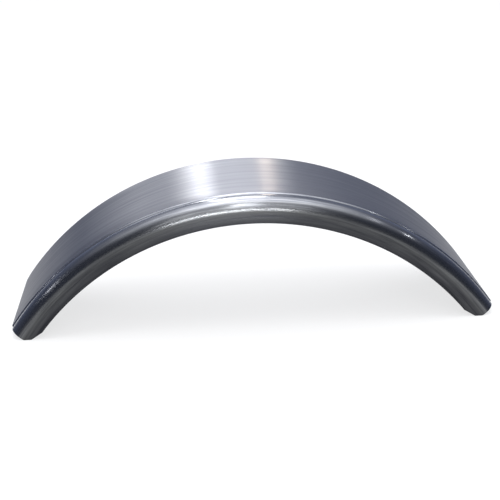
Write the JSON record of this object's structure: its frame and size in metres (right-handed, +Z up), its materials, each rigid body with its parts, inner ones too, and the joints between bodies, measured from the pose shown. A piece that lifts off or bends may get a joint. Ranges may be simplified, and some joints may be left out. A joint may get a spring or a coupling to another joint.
{
  "type": "trailer fender",
  "caption": "Arched one-piece sheet-metal fender for a small trailer wheel: a plain band, a fine step, a rolled shoulder and a short skirt along its outer side.",
  "frame": {"origin": "under the crown: midway between the two ends in X, midway across the width in Y, at the height of the level cuts at the skirt's two ends in Z", "axes": "+X along the arch from end to end, +Y across the band from the skirt to the plain edge, +Z up through the crown; the axis of the arch is parallel to Y"},
  "size_m": [0.6226, 0.203, 0.1735],
  "materials": {
    "sheet": "brushed along the arch on the band, polished on the rolled side"
  },
  "bodies": {
    "root": {"fender": "sheet"}
  },
  "joints": []
}
